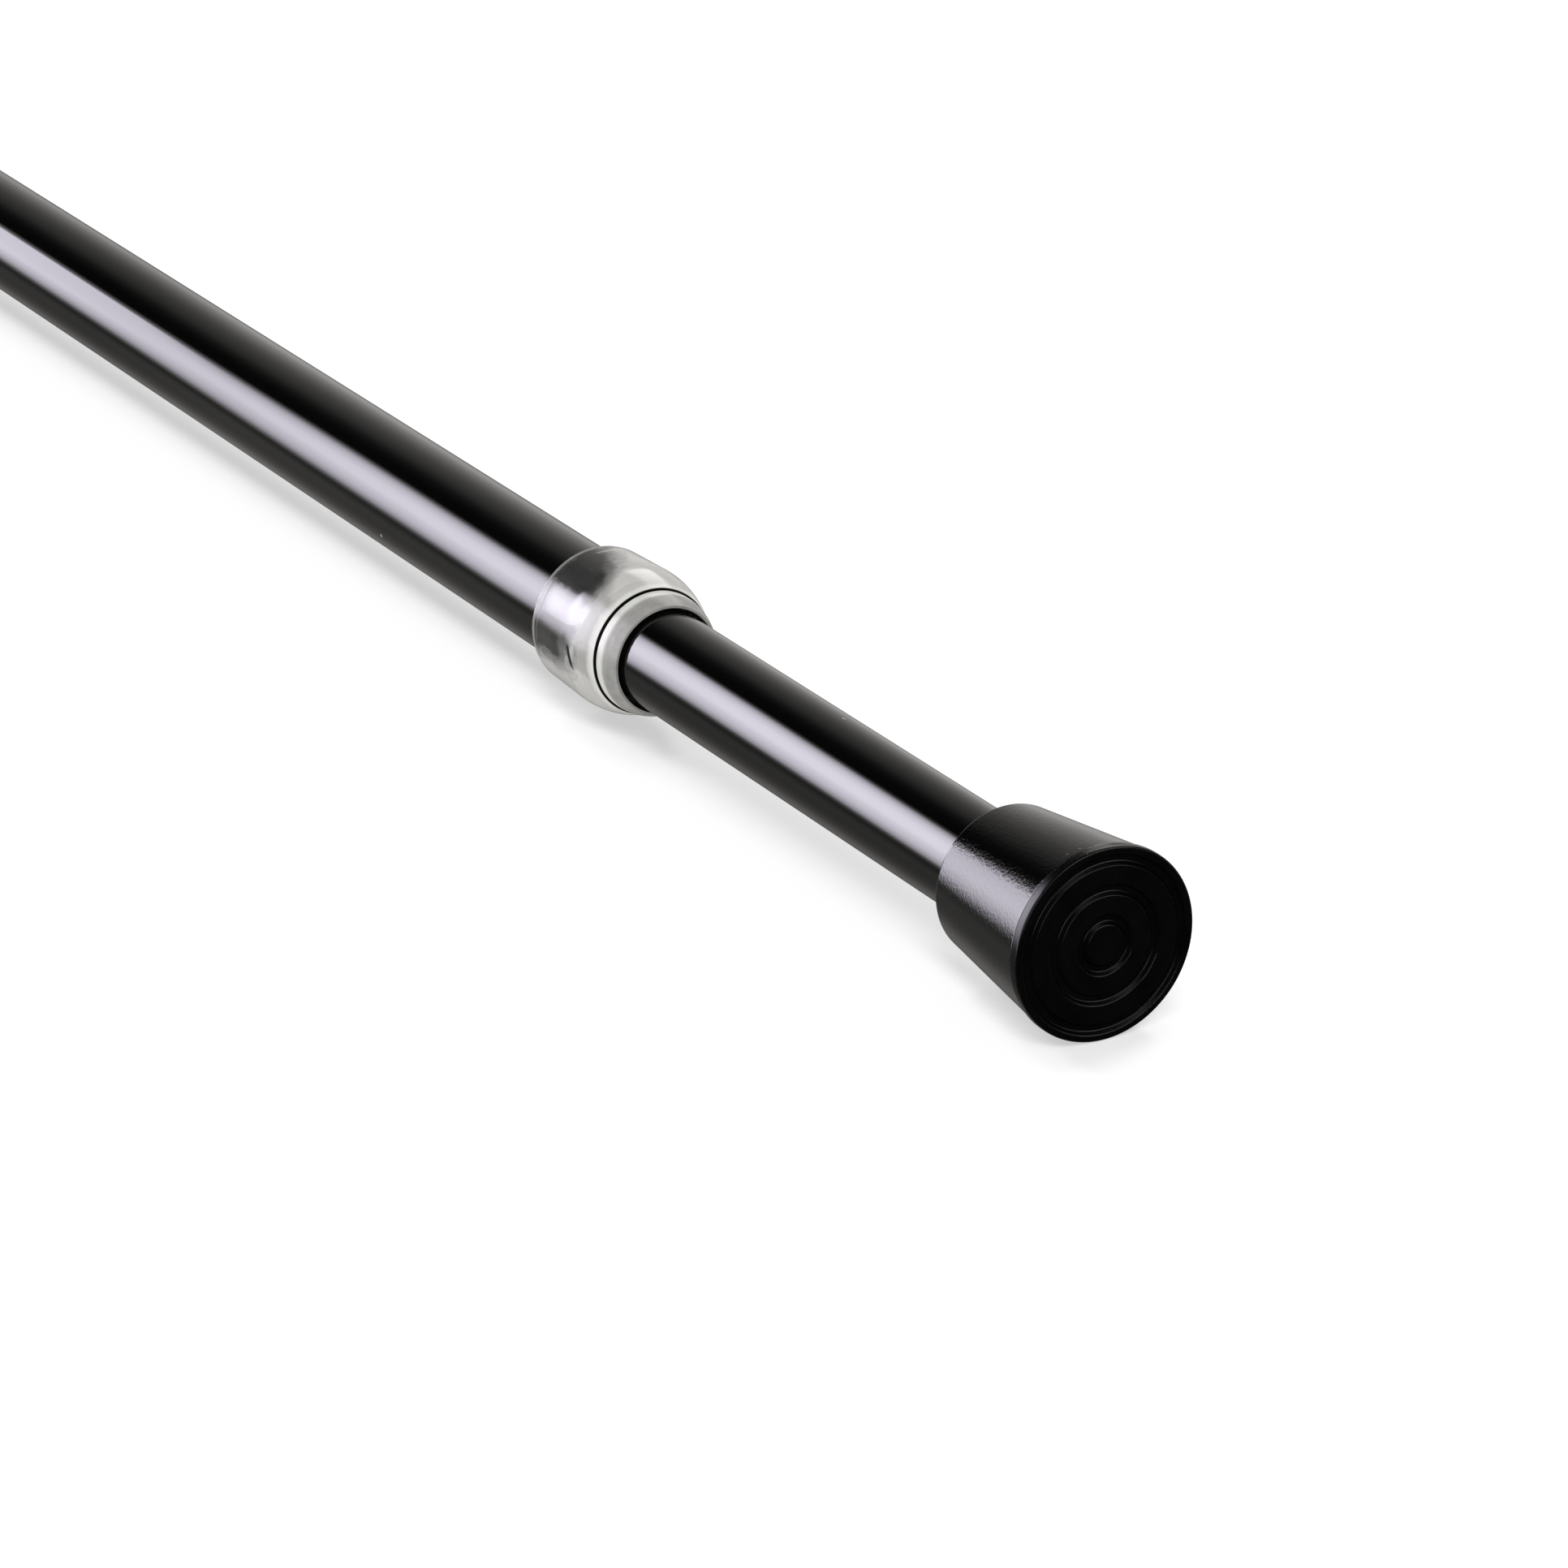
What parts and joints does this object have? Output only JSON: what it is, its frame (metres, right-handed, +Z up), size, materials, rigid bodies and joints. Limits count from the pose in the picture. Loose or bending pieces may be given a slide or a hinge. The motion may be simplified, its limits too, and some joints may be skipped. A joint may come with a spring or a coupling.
{
  "type": "spring tension rod",
  "caption": "Telescoping round tension rod with glossy black tubes, clear collar and rubber-faced cone caps; a hidden spring and twist lock press it between two walls.",
  "frame": {"origin": "centre of the fixed end's wall face, on the rod's axis", "axes": "+X along the rod from the fixed end to the sliding end, +Z up"},
  "size_m": [0.3819, 0.024, 0.024],
  "materials": {
    "tube_paint": "high-gloss black enamel on thin steel tube",
    "clear_plastic": "clear moulded plastic",
    "cap_plastic": "glossy black moulded plastic with a fine skin texture",
    "pad_rubber": "matt black rubber with ring grooves",
    "natural_plastic": "natural white moulded plastic",
    "cam_plastic": "grey moulded plastic",
    "spring_steel": "drawn spring wire",
    "bright_steel": "zinc-plated steel"
  },
  "bodies": {
    "outer_rod": {"outer_tube": "tube_paint", "tube_collar": "clear_plastic", "fixed_end_cap": "cap_plastic", "fixed_end_pad": "pad_rubber"},
    "lock_ring": {"cam_ring": "cam_plastic"},
    "plunger": {"plunger_rod": "bright_steel", "rod_clip": "spring_steel", "spring_seat": "natural_plastic", "cam_core": "cam_plastic", "cam_washer": "bright_steel", "cam_screw": "bright_steel"},
    "inner_rod": {"inner_tube": "tube_paint", "sliding_end_cap": "cap_plastic", "sliding_end_pad": "pad_rubber", "key_bush": "natural_plastic", "spring_stop": "natural_plastic", "compression_spring": "spring_steel"}
  },
  "joints": [
    {"name": "length_adjust", "type": "slide", "parent": "outer_rod", "child": "lock_ring", "axis": [1, 0, 0], "range_m": [-0.052, 0.118]},
    {"name": "twist_lock", "type": "hinge", "parent": "lock_ring", "child": "plunger", "pos_m": [0.0724, 0, 0.0006], "axis": [1, 0, 0], "range_deg": [-24, 24]},
    {"name": "spring_push", "type": "slide", "parent": "plunger", "child": "inner_rod", "axis": [1, 0, 0], "range_m": [-0.028, 0], "stiffness_N_per_m": 900, "springref_m": 0.012, "deforming": ["compression_spring"]}
  ]
}
